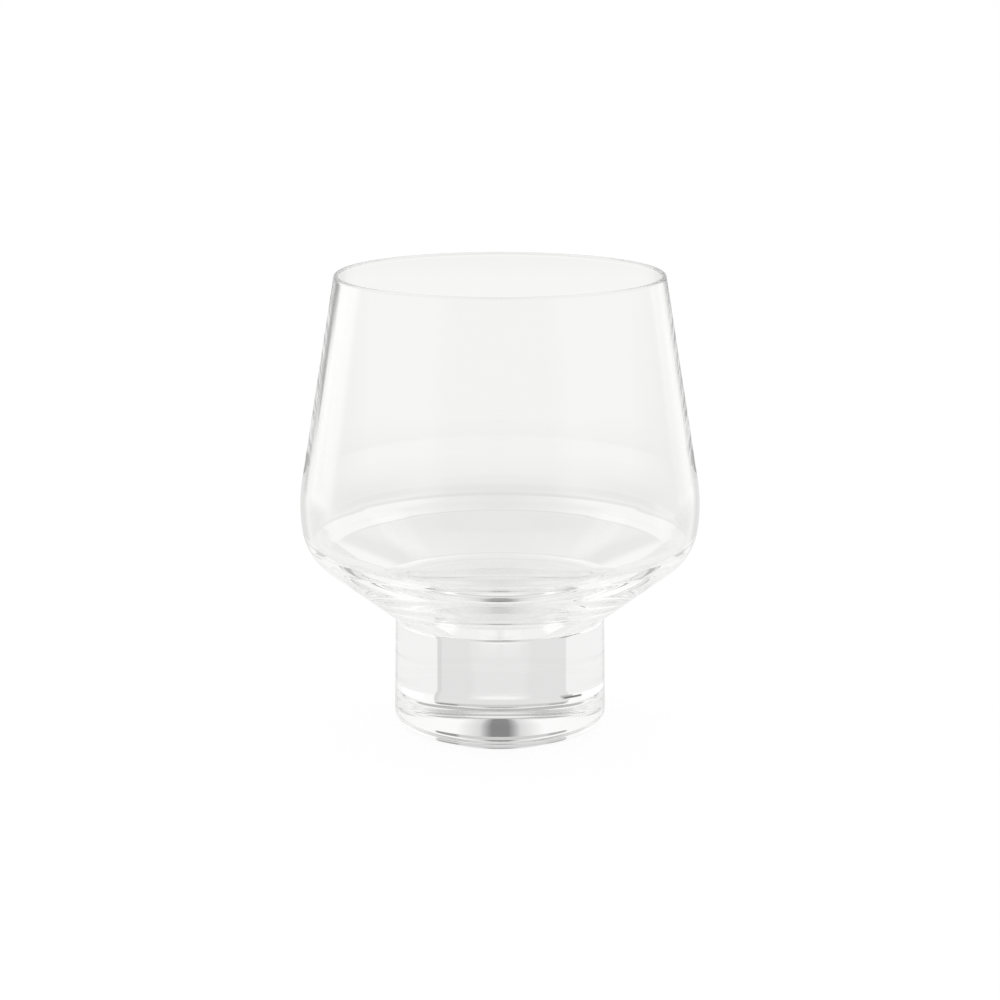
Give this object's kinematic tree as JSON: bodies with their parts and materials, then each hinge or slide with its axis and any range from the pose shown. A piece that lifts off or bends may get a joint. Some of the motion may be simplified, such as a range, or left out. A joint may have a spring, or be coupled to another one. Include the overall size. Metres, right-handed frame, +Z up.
{
  "type": "cognac glass",
  "caption": "Stemless cognac glass: a thin tapering bowl with a rounded lip and a conical underside, fused onto a short solid cylindrical foot with a flat base.",
  "frame": {"origin": "centre of the flat underside of the foot, on the surface the glass stands on", "axes": "+Z up along the axis of revolution towards the lip; X and Y are any two square directions, because the glass is round"},
  "size_m": [0.0868, 0.0868, 0.1],
  "materials": {
    "foot_glass": "clear, fire-polished, solid",
    "bowl_glass": "clear, fire-polished, thin-walled"
  },
  "bodies": {
    "root": {"foot": "foot_glass", "bowl": "bowl_glass"}
  },
  "joints": []
}
